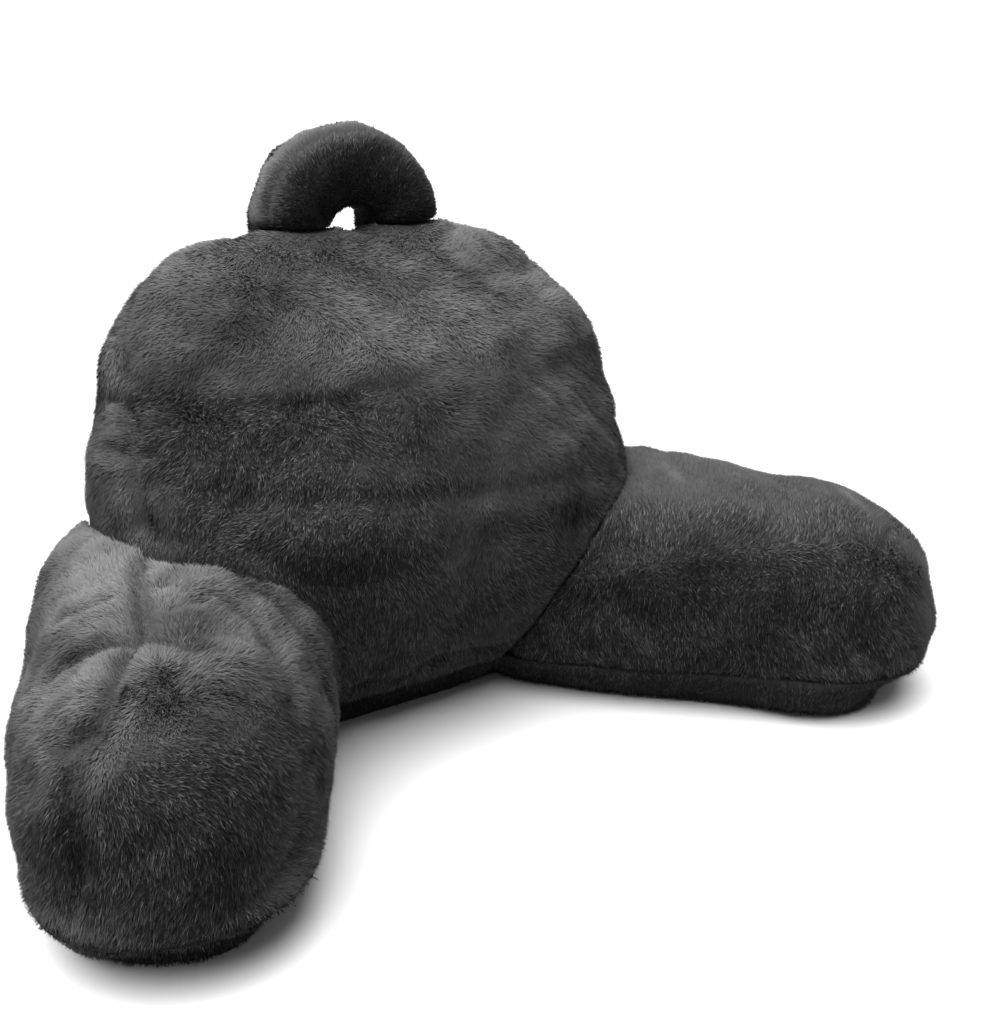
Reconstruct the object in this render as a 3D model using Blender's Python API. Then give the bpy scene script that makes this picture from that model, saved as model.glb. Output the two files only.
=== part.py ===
# Back support pillow with two arm bolsters, a carry handle and a base panel, in plush fur.
#
# Metres, +Z up. The sitter's side is -Y and +X is to the right of someone who looks at it.
# The sizes and tables below have x = 0 at the middle of the back cushion.
# At the end everything moves, so that the origin is on the floor under the middle of the box.
# Every outer size is the size to the tips of the pile.

import bmesh
import bpy
import numpy as np
from math import pi, radians

# Driving dimensions
BACK_HEIGHT = 0.417            # floor to the crown of the back cushion
BACK_ROUNDNESS = 2.5           # power of the back's level sections: 2 is an ellipse
BACK_SHOULDER = 6.4            # how late the outline turns in towards the crown
BACK_SHOULDER_TURN = 0.44
BACK_CROWN = 4.8               # the same for the thickness
BACK_CROWN_TURN = 0.48
CROWN_TIP = 0.020              # size of the topmost section, as a share of the others

ARM_ROUNDNESS = 2.35           # power of the upper half of the arm's cross-sections
ARM_ROOT_REACH = 0.095         # how far an arm's form runs on into the back
ARM_END_POWER = 2.4            # power of the arm's rounded end, seen from above
ARM_END_FULLNESS = 2.7         # and seen from the side
ARM_ROOT_ROUND = 0.060         # length of the rounded end inside the back
ARM_TIP = 0.020                # size of an arm's last section, as a share of the others

HANDLE_OUTER = 0.086           # middle of the loop to its outer edge
HANDLE_THICKNESS = 0.071       # across the padded band, seen from the front
HANDLE_WIDTH = 0.070           # the band's width, front to rear
HANDLE_PLACE = (0.020, 0.138)  # x and y of the middle of the loop
HANDLE_DROP = 0.004            # the loop's centre below the crown
HANDLE_FLATNESS = 0.92         # height of the arch as a share of its half width
HANDLE_FOOT = 0.050            # how far each foot runs straight down into the back
HANDLE_ROUNDNESS = 2.3         # power of the band's cross-section

SEAM_HEIGHT = 0.040            # base seam above the floor at y = 0
SEAM_RISE = 0.036              # and how much it rises for each metre towards the front
FLOOR_PRESS = 0.0076           # how far the floor presses the arms flat
BACK_PRESS = 0.0110            # and the back
FOOT_TUCK = 0.10               # share of the width that the back draws in at the floor
FOOT_TUCK_HEIGHT = 0.019
GAP = 0.0003                   # between two pieces that touch

# Mesh steps
BACK_RINGS = 40
BACK_REAR_SIDES = 22
BACK_FRONT_SIDES = 46
BACK_RING_EASE = 1.7           # the rings gather towards the crown
ARM_RINGS = 32
ARM_SIDES = 34
ARM_RING_EASE = 1.5            # and towards the arm's end
HANDLE_RINGS = 22
HANDLE_FOOT_RINGS = 3
HANDLE_SIDES = 18
BLOCK_REACH = 1.0              # half size of the blocks that cut along the base seam
WELD = 0.00005                 # points nearer than this are one
SMOOTH_ANGLE = 40              # degrees, above which an edge stays sharp


def table(columns, *rows):
    """A table as one array for each named column."""
    return dict(zip(columns.split(), np.array(rows, dtype=float).T))


# Level sections of the back cushion. at is the share of the height.
# left and right are half widths, front and rear are y.
BACK_SECTIONS = table(
    "at    left   right  front   rear",
    (0.00, 0.236, 0.222, 0.026, 0.176),
    (0.25, 0.245, 0.238, -0.056, 0.196),
    (0.50, 0.241, 0.229, -0.094, 0.206),
    (0.70, 0.233, 0.241, -0.048, 0.210),
    (0.88, 0.233, 0.252, 0.020, 0.207),
    (1.00, 0.234, 0.252, 0.036, 0.198),
)

# Each arm runs from root to tip in plan, bowed sideways in the middle.
# end is the length of its rounded end. squash is the power of the lower half of its
# cross-sections, which the floor squashes.
ARMS = {
    "left_arm": dict(root=(-0.185, 0.038), tip=(-0.318, -0.247), bow=0.002, end=0.108, squash=2.6),
    "right_arm": dict(root=(0.183, 0.029), tip=(0.407, -0.220), bow=0.004, end=0.104, squash=3.3),
}

# Cross-sections of an arm. at is the share of its length.
ARM_SECTIONS = {
    "left_arm": table(
        "at    half_width  height",
        (0.00, 0.075, 0.233),
        (0.23, 0.121, 0.222),
        (0.60, 0.110, 0.198),
        (1.00, 0.097, 0.181),
    ),
    "right_arm": table(
        "at    half_width  height",
        (0.00, 0.083, 0.208),
        (0.22, 0.118, 0.202),
        (0.60, 0.108, 0.187),
        (1.00, 0.095, 0.171),
    ),
}

# Creases, sewn seams, channels and dimples: a trough along the line between two points.
# A dimple's two points are one place.
FOLDS = {
    "back_cushion": table(
        "x0      y0      z0     x1      y1      z1     width  depth",
        # the soft channel across the front panel
        (-0.200, 0.048, 0.317, -0.076, -0.012, 0.309, 0.020, 0.009),
        (-0.076, -0.012, 0.309, 0.055, -0.010, 0.311, 0.020, 0.009),
        (0.055, -0.010, 0.311, 0.148, -0.003, 0.306, 0.018, 0.004),
        # a fainter one under it
        (-0.213, 0.007, 0.260, -0.067, -0.076, 0.239, 0.022, 0.004),
        (-0.067, -0.076, 0.239, 0.145, -0.069, 0.220, 0.022, 0.004),
        # the lower edge of the front bulge
        (-0.169, -0.063, 0.207, -0.086, -0.085, 0.180, 0.022, 0.004),
        (-0.086, -0.085, 0.180, 0.027, -0.091, 0.193, 0.022, 0.004),
        (0.027, -0.091, 0.193, 0.159, -0.064, 0.173, 0.022, 0.004),
        # the front panel's side seams
        (-0.182, 0.120, 0.362, -0.211, 0.056, 0.307, 0.013, 0.008),
        (-0.211, 0.056, 0.307, -0.221, 0.018, 0.258, 0.013, 0.008),
        (-0.221, 0.018, 0.258, -0.226, -0.002, 0.225, 0.013, 0.008),
        (0.192, 0.120, 0.362, 0.222, 0.056, 0.307, 0.013, 0.008),
        (0.222, 0.056, 0.307, 0.226, 0.018, 0.258, 0.013, 0.008),
        (0.226, 0.018, 0.258, 0.222, -0.002, 0.225, 0.013, 0.008),
        # dimples below the crown
        (-0.097, 0.058, 0.369, -0.097, 0.058, 0.369, 0.030, 0.008),
        (0.090, 0.055, 0.369, 0.090, 0.055, 0.369, 0.026, 0.006),
        # the crown's dip where the handle pulls it in
        (0.000, 0.110, 0.417, 0.036, 0.110, 0.417, 0.060, 0.010),
    ),
    "left_arm": table(
        "x0      y0      z0     x1      y1      z1     width  depth",
        # the crease across the arm
        (-0.316, -0.084, 0.178, -0.266, -0.125, 0.194, 0.014, 0.007),
        (-0.266, -0.125, 0.194, -0.188, -0.126, 0.183, 0.014, 0.005),
        # the crease along it
        (-0.232, -0.007, 0.210, -0.247, -0.055, 0.203, 0.014, 0.004),
        (-0.247, -0.055, 0.203, -0.271, -0.122, 0.194, 0.014, 0.005),
        # the pucker that runs on to the outer side
        (-0.286, -0.133, 0.191, -0.323, -0.179, 0.177, 0.014, 0.006),
        (-0.323, -0.179, 0.177, -0.340, -0.187, 0.163, 0.014, 0.008),
        (-0.340, -0.187, 0.163, -0.354, -0.209, 0.093, 0.014, 0.005),
        # the dimple in the end
        (-0.271, -0.182, 0.187, -0.271, -0.182, 0.187, 0.022, 0.007),
        # the fold beside the front panel
        (-0.167, -0.080, 0.192, -0.149, -0.114, 0.160, 0.014, 0.004),
        (-0.149, -0.114, 0.160, -0.151, -0.148, 0.102, 0.014, 0.004),
    ),
    "right_arm": table(
        "x0      y0      z0     x1      y1      z1     width  depth",
        # the end seam
        (0.340, -0.205, 0.178, 0.301, -0.237, 0.136, 0.014, 0.005),
        (0.301, -0.237, 0.136, 0.290, -0.240, 0.080, 0.014, 0.005),
        # the valley in the top
        (0.244, -0.069, 0.191, 0.233, -0.135, 0.169, 0.022, 0.006),
    ),
}

MATERIALS = {
    "back_cushion": ((0.052, 0.052, 0.052), 0.92),
    "left_arm": ((0.050, 0.050, 0.050), 0.92),
    "right_arm": ((0.050, 0.050, 0.050), 0.92),
    "carry_handle": ((0.045, 0.045, 0.045), 0.92),
    "base_panel": ((0.030, 0.030, 0.030), 0.95),
}


def smooth(rows, column, at):
    """Read a table's column at any place, on a curve with no overshoot."""
    places, values = rows["at"], rows[column]
    steps = np.diff(places)
    slopes = np.diff(values) / steps
    tangents = np.empty_like(values)
    tangents[0], tangents[-1] = slopes[0], slopes[-1]
    for i in range(1, len(values) - 1):
        before, after = slopes[i - 1], slopes[i]
        tangents[i] = 2 * before * after / (before + after) if before * after > 0 else 0.0
    at = np.clip(at, places[0], places[-1])
    i = np.clip(np.searchsorted(places, at) - 1, 0, len(steps) - 1)
    t = (at - places[i]) / steps[i]
    start = values[i] * (1 + 2 * t) * (1 - t) ** 2 + steps[i] * tangents[i] * t * (1 - t) ** 2
    finish = values[i + 1] * t * t * (3 - 2 * t) + steps[i] * tangents[i + 1] * t * t * (t - 1)
    return start + finish


def rounded_ring(rear_sides, front_sides, power):
    """Points round a superellipse of half size 1, from +1 over its rear half to its front half."""
    rear = np.linspace(0, pi, rear_sides, endpoint=False)
    front = np.linspace(pi, 2 * pi, front_sides, endpoint=False)
    angles = np.concatenate([rear, front])
    c, s = np.cos(angles), np.sin(angles)
    return np.sign(c) * abs(c) ** (2 / power), np.sign(s) * abs(s) ** (2 / power)


def folded(rings, rows):
    """Press each fold's trough into a loft, along the inward normal."""
    along = np.gradient(rings, axis=0)
    around = np.roll(rings, -1, axis=1) - np.roll(rings, 1, axis=1)
    normals = np.cross(around, along)
    normals /= np.linalg.norm(normals, axis=2, keepdims=True) + 1e-9
    depth = np.zeros(rings.shape[:2])
    for i in range(len(rows["x0"])):
        start = np.array([rows["x0"][i], rows["y0"][i], rows["z0"][i]])
        run = np.array([rows["x1"][i], rows["y1"][i], rows["z1"][i]]) - start
        share = np.clip((rings - start) @ run / max(run @ run, 1e-9), 0, 1)
        away = np.linalg.norm(rings - start - share[..., None] * run, axis=2)
        depth = np.maximum(depth, rows["depth"][i] * np.exp(-(away / rows["width"][i]) ** 2))
    return rings - normals * depth[..., None]


def add_object(name, vertices, faces):
    """A closed mesh in triangles, its faces turned out."""
    mesh = bpy.data.meshes.new(name)
    mesh.from_pydata([tuple(v) for v in vertices], [], faces)
    shape = bmesh.new()
    shape.from_mesh(mesh)
    bmesh.ops.recalc_face_normals(shape, faces=shape.faces)
    bmesh.ops.triangulate(shape, faces=shape.faces)
    shape.to_mesh(mesh)
    shape.free()
    piece = bpy.data.objects.new(name, mesh)
    bpy.context.scene.collection.objects.link(piece)
    return piece


def loft(name, rings):
    """A closed form through rings of points, its two ends filled."""
    count, sides = rings.shape[:2]
    faces = []
    for i in range(count - 1):
        for j in range(sides):
            k = (j + 1) % sides
            faces.append((i * sides + j, i * sides + k, (i + 1) * sides + k, (i + 1) * sides + j))
    faces.append(tuple(reversed(range(sides))))
    faces.append(tuple((count - 1) * sides + j for j in range(sides)))
    return add_object(name, rings.reshape(-1, 3), faces)


def back_form():
    """The back's filled form, from below the floor up to its crown."""
    rise = 1 - (1 - np.linspace(0, 1, BACK_RINGS)) ** BACK_RING_EASE
    z = -BACK_PRESS + (BACK_HEIGHT + BACK_PRESS) * rise
    tuck = 1 - FOOT_TUCK * np.exp(-(z + BACK_PRESS) / FOOT_TUCK_HEIGHT)
    shoulder = CROWN_TIP + (1 - CROWN_TIP) * (1 - rise ** BACK_SHOULDER) ** BACK_SHOULDER_TURN
    crown = CROWN_TIP + (1 - CROWN_TIP) * (1 - rise ** BACK_CROWN) ** BACK_CROWN_TURN
    left = smooth(BACK_SECTIONS, "left", rise) * shoulder * tuck
    right = smooth(BACK_SECTIONS, "right", rise) * shoulder * tuck
    front = smooth(BACK_SECTIONS, "front", rise)
    rear = smooth(BACK_SECTIONS, "rear", rise)
    thickness = (rear - front) / 2 * crown * tuck
    ring_x, ring_y = rounded_ring(BACK_REAR_SIDES, BACK_FRONT_SIDES, BACK_ROUNDNESS)
    x = np.where(ring_x < 0, left[:, None], right[:, None]) * ring_x
    y = ((front + rear) / 2)[:, None] + thickness[:, None] * ring_y
    rings = np.stack([x, y, np.repeat(z[:, None], len(ring_x), 1)], axis=2)
    return loft("back_cushion", folded(rings, FOLDS["back_cushion"]))


def arm_form(name):
    """An arm bolster's filled form: a run of cross-sections with a rounded end."""
    arm, rows = ARMS[name], ARM_SECTIONS[name]
    root, tip = np.array(arm["root"]), np.array(arm["tip"])
    heading = (tip - root) / np.linalg.norm(tip - root)
    root = root - heading * ARM_ROOT_REACH
    length = np.linalg.norm(tip - root)
    across = np.array([-heading[1], heading[0]])
    at = 1 - (1 - np.linspace(0, 1, ARM_RINGS)) ** ARM_RING_EASE
    bow = arm["bow"] * 4 * at * (1 - at)
    line = root + heading * (at * length)[:, None] + across * bow[:, None]
    into_end = np.clip((at * length - (length - arm["end"])) / arm["end"], 0, 1)
    into_root = np.clip(1 - at * length / ARM_ROOT_ROUND, 0, 1)
    end_width = np.sqrt(np.clip(1 - into_end ** ARM_END_POWER - into_root ** 2, ARM_TIP ** 2, 1))
    end_height = np.sqrt(np.clip(1 - into_end ** ARM_END_FULLNESS, ARM_TIP ** 2, 1))
    width = smooth(rows, "half_width", at) * end_width
    height = smooth(rows, "height", at) + FLOOR_PRESS
    middle = height / 2 - FLOOR_PRESS
    half = ARM_SIDES // 2
    upper = np.array(rounded_ring(half, half, ARM_ROUNDNESS))
    lower = np.array(rounded_ring(half, half, arm["squash"]))
    ring_a, ring_z = np.where(upper[1] < 0, lower, upper)
    plan = line[:, None, :] + across * (width[:, None] * ring_a)[..., None]
    z = middle[:, None] + (height / 2 * end_height)[:, None] * ring_z
    rings = np.concatenate([plan, z[..., None]], axis=2)
    return loft(name, folded(rings, FOLDS[name]))


def handle_form():
    """The carry handle: a padded band bent into a loop, its feet let into the crown."""
    arch = np.linspace(0, pi, HANDLE_RINGS)
    legs = np.linspace(HANDLE_FOOT, 0, HANDLE_FOOT_RINGS, endpoint=False)
    straight = np.zeros(HANDLE_FOOT_RINGS)
    out = np.concatenate([straight + 1, np.cos(arch), straight - 1])
    up = np.concatenate([straight, np.sin(arch), straight])
    drop = np.concatenate([legs, np.zeros(HANDLE_RINGS), legs[::-1]])
    ring_r, ring_y = rounded_ring(HANDLE_SIDES // 2, HANDLE_SIDES // 2, HANDLE_ROUNDNESS)
    radius = HANDLE_OUTER - HANDLE_THICKNESS / 2 + HANDLE_THICKNESS / 2 * ring_r
    x = HANDLE_PLACE[0] + out[:, None] * radius
    y = HANDLE_PLACE[1] + np.repeat((HANDLE_WIDTH / 2 * ring_y)[None], len(out), 0)
    rise = up[:, None] * radius * HANDLE_FLATNESS
    z = BACK_HEIGHT - HANDLE_DROP + rise - drop[:, None]
    return loft("carry_handle", np.stack([x, y, z], axis=2))


def wedge(name, lift, below):
    """A block on one side of the sloping seam plane: under it, down to the floor, or over it."""
    reach = BLOCK_REACH
    near = SEAM_HEIGHT + SEAM_RISE * reach + lift
    far = SEAM_HEIGHT - SEAM_RISE * reach + lift
    other = 0.0 if below else BLOCK_REACH
    vertices = [
        (-reach, -reach, other), (reach, -reach, other), (reach, reach, other), (-reach, reach, other),
        (-reach, -reach, near), (reach, -reach, near), (reach, reach, far), (-reach, reach, far),
    ]
    faces = [(0, 3, 2, 1), (4, 5, 6, 7), (0, 1, 5, 4), (1, 2, 6, 5), (2, 3, 7, 6), (3, 0, 4, 7)]
    return add_object(name, vertices, faces)


def copy_of(piece, name, grow=0.0):
    """A copy, with its surface moved out by grow."""
    twin = bpy.data.objects.new(name, piece.data.copy())
    bpy.context.scene.collection.objects.link(twin)
    normals = [v.normal.copy() for v in twin.data.vertices]
    for vertex, normal in zip(twin.data.vertices, normals):
        vertex.co += normal * grow
    return twin


def boolean(piece, tool, operation):
    """Cut, keep or join with another closed form, and keep the result as the piece's mesh."""
    modifier = piece.modifiers.new(operation, "BOOLEAN")
    modifier.operation = operation
    modifier.solver = "EXACT"
    modifier.object = tool
    graph = bpy.context.evaluated_depsgraph_get()
    result = bpy.data.meshes.new_from_object(piece.evaluated_get(graph))
    piece.modifiers.clear()
    piece.data = result


def remove(piece):
    """Take an object out of the file."""
    bpy.data.objects.remove(piece, do_unlink=True)


def finish(piece):
    """Weld crumbs left by the cuts, shade smooth, and give the piece its material."""
    shape = bmesh.new()
    shape.from_mesh(piece.data)
    bmesh.ops.remove_doubles(shape, verts=shape.verts, dist=WELD)
    bmesh.ops.dissolve_degenerate(shape, edges=shape.edges, dist=WELD)
    shape.to_mesh(piece.data)
    shape.free()
    piece.data.shade_smooth()
    piece.data.set_sharp_from_angle(angle=radians(SMOOTH_ANGLE))
    colour, roughness = MATERIALS[piece.name]
    material = bpy.data.materials.new(piece.name + "_fur")
    material.use_nodes = True
    shader = material.node_tree.nodes["Principled BSDF"]
    shader.inputs["Base Color"].default_value = (*colour, 1)
    shader.inputs["Roughness"].default_value = roughness
    shader.inputs["Metallic"].default_value = 0.0
    piece.data.materials.clear()
    piece.data.materials.append(material)


def build():
    """Form the five pieces, cut them to one another, and put the origin in its place."""
    for thing in list(bpy.data.objects):
        remove(thing)

    back = back_form()
    arms = [arm_form(name) for name in ARMS]
    handle = handle_form()

    # The base panel is what lies under the sloping seam, of all three forms together.
    base = copy_of(back, "base_panel")
    for arm in arms:
        boolean(base, arm, "UNION")
    under_seam = wedge("under_seam", -GAP / 2, below=True)
    boolean(base, under_seam, "INTERSECT")
    remove(under_seam)

    # The handle and the arms end where they meet the back cushion.
    grown_back = copy_of(back, "grown_back", GAP)
    boolean(handle, grown_back, "DIFFERENCE")
    over_seam = wedge("over_seam", GAP / 2, below=False)
    for arm in arms:
        boolean(arm, over_seam, "INTERSECT")
        boolean(arm, grown_back, "DIFFERENCE")
    boolean(back, over_seam, "INTERSECT")
    remove(grown_back)
    remove(over_seam)

    pieces = [back, *arms, handle, base]
    for piece in pieces:
        finish(piece)

    # Put the origin under the middle of the whole pillow.
    points = np.array([v.co for piece in pieces for v in piece.data.vertices])
    low, high = points.min(axis=0), points.max(axis=0)
    middle = (low + high) / 2
    for piece in pieces:
        for vertex in piece.data.vertices:
            vertex.co.x -= middle[0]
            vertex.co.y -= middle[1]
            vertex.co.z -= low[2]


build()
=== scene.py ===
"""Looks of the back support pillow: sewn covers, plush pile, floor, light and camera.

Each cover is the cloth under the pile, blown up a little by its filling. The pile stands on it
as tufts of fine strands, which end where the modelled form ends. Metres, +Z up, the sitter's
side is -Y.
"""

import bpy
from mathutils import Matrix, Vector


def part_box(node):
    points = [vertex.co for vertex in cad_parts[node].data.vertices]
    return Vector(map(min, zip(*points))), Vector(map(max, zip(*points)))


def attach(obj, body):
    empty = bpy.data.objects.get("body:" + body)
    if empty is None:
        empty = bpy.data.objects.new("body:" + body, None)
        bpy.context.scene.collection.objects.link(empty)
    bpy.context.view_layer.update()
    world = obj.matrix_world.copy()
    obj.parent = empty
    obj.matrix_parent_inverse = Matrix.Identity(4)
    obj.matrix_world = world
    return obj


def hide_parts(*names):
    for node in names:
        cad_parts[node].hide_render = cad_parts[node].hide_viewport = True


bl_info = {
    "name": "Back Support Pillow",
    "version": (1, 0, 0),
    "blender": (4, 5, 0),
    "location": "View3D > Sidebar > Pillow",
    "description": "Covers, plush pile and stage of a back support pillow",
    "category": "Object",
}

from math import pi, radians, sqrt

import bmesh
import bpy
import numpy as np
from bpy.props import FloatProperty, FloatVectorProperty, IntProperty, PointerProperty
from mathutils import Euler, Vector
from mathutils.bvhtree import BVHTree

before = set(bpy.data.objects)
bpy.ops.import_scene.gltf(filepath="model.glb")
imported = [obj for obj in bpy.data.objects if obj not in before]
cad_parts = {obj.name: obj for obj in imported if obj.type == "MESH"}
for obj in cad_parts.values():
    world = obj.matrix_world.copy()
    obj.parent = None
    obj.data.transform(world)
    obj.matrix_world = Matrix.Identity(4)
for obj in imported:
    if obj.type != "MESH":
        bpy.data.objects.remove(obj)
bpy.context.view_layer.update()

NOT_ZERO = 1e-12               # keeps a length that is divided by above zero
WAVE_COUNT = 9                 # how many waves make up the noise
WAVE_SIZES = (0.7, 1.4)        # shortest and longest of them, over the noise's size

# How the covers are blown up and creased.
EVEN_OUT = 0.5                 # share of a face's unevenness that one pass takes away
SIM_FRAMES = 20
SIM_QUALITY = 3
CLOTH_MASS = 0.2
HELD_LEAST = 0.01              # a point that is held less than this is free
FLOOR_CLEARANCE = 0.0008       # the lowest strand above the floor
CONTACT = (0.0006, 0.0180)     # from touching another piece to standing free of it
ON_FLOOR = (0.001, 0.008)      # from lying on the floor to standing free of it
LINE_REACH = 0.012             # how far off the cover a fold's line may lie
OFF_SHARE = 0.9                # share of that distance, squared, that isn't counted
PUFF_SHARE = 0.2               # share of the most puff by which the cloth is drawn in more
SWELLS = ((0.0016, 0.090), (0.0009, 0.038))     # height and size of the cover's soft swells

# The handle's hole, where its pile comes further in.
HOLE_BELOW = 0.92              # its centre's depth below the handle's top, over the outer radius
HOLE_RIM = (0.018, 0.034)      # from the rim of the hole to the face around it
HOLE_KEEP = 0.8                # share of the drawing in that the rim doesn't get
HOLE_FILL = 0.006              # how far the rim's upper part swells into the hole
HOLE_TOP = 0.012               # height of that upper part

# How the pile is combed.
SWIRLS = ((radians(24), 0.090), (radians(13), 0.022))     # turn and size of the slow swirls
WHORL_PULL = 0.9               # how strongly a whorl turns the pile away from its middle
WHORL_RAISE = radians(24)      # how far it stands up there
DEEP_RAISE = radians(12)       # how far it stands up in the places darkened by painted shade
TUFT_RAISE = radians(6)        # how unlike the tufts' angles are, and the strands' in a tuft
TUFT_BEND = radians(10)        # how unlike their directions are
STRAY = 0.08                   # how far a strand strays from its tuft's direction
ROOTED = (0.0005, 0.004)       # distance from another piece over which the pile sets in
FULL_AT = 0.010                # distance from another piece at which it has its full length
SHORTEST = 0.60                # its share of the length beside another piece
UNEVEN_LENGTH = (0.08, 0.018)  # strength and size of the changes in length
FOLD_CUT = 0.75                # how much shorter it is in a deep fold
FOLD_SHADES = (0.10, 0.40)     # from a faint fold to a deep one
ROOT_DEPTH = 0.0008            # how far a root reaches into the cloth
BASE_ROOTED = (0.001, 0.004)   # height above the floor over which the base's pile sets in
TUFT_LENGTHS = (0.90, 1.10)    # shortest and longest tuft, over the pile's length
STRAND_LENGTHS = (0.78, 1.08)  # shortest and longest strand, over its tuft's length
STRAND_WIDTHS = (0.7, 1.3)     # thinnest and widest strand, over the pile's width
STRAND_ROLL = 0.35             # how unlike the strands are turned about themselves

# How light the pile is, with its random changes and its painted light and shade: 0 is the middle
# tone, and each step up is brighter.
PATCHES = ((0.05, 0.120), (0.04, 0.030))        # strength and size of lighter patches
PAINTED_TOP_LIGHT = 0.42              # painted light from above: how much lighter it is where it faces up
LEAST_UPWARD = -0.3            # painted shade where it faces down: no darker than at this slope
GROUND_TONE = -0.19
TUFT_TONE = 0.040              # how unlike the tufts' tones are
TONE_GAIN = 1.75
DEEP_TONES = (0.10, 0.55)      # tones below the middle, from the first shade to the darkest
STRAND_TONE = (0.06, 0.86)     # how unlike strands are: everywhere, and more where shade is painted
NORMAL_MIX = (0.86, 0.14, 0.05)     # shares of the cloth's normal, the strand's and chance

HANDLE_LOW, HANDLE_HIGH = (np.array(c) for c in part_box("carry_handle"))
HANDLE_OUTER = (HANDLE_HIGH[0] - HANDLE_LOW[0]) / 2
HOLE = (HANDLE_LOW + HANDLE_HIGH) / 2
HOLE[2] = HANDLE_HIGH[2] - HOLE_BELOW * HANDLE_OUTER


def table(columns, *rows):
    """A table as one array for each named column."""
    return dict(zip(columns.split(), np.array(rows, dtype=float).T))


def folds(*rows):
    """A table of folds. Each row is the places that a fold runs through, then its width,
    its depth and the painted shade that darkens the pile in it."""
    lines = []
    for *places, width, depth, shade in rows:
        for start, end in zip(places, places[1:]):
            lines.append((*start, *end, width, depth, shade))
    return table("x0 y0 z0 x1 y1 z1 width depth shade", *lines)


def place(rows, index):
    """The place in one row of a table."""
    return np.array([rows[axis][index] for axis in "xyz"])
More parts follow.
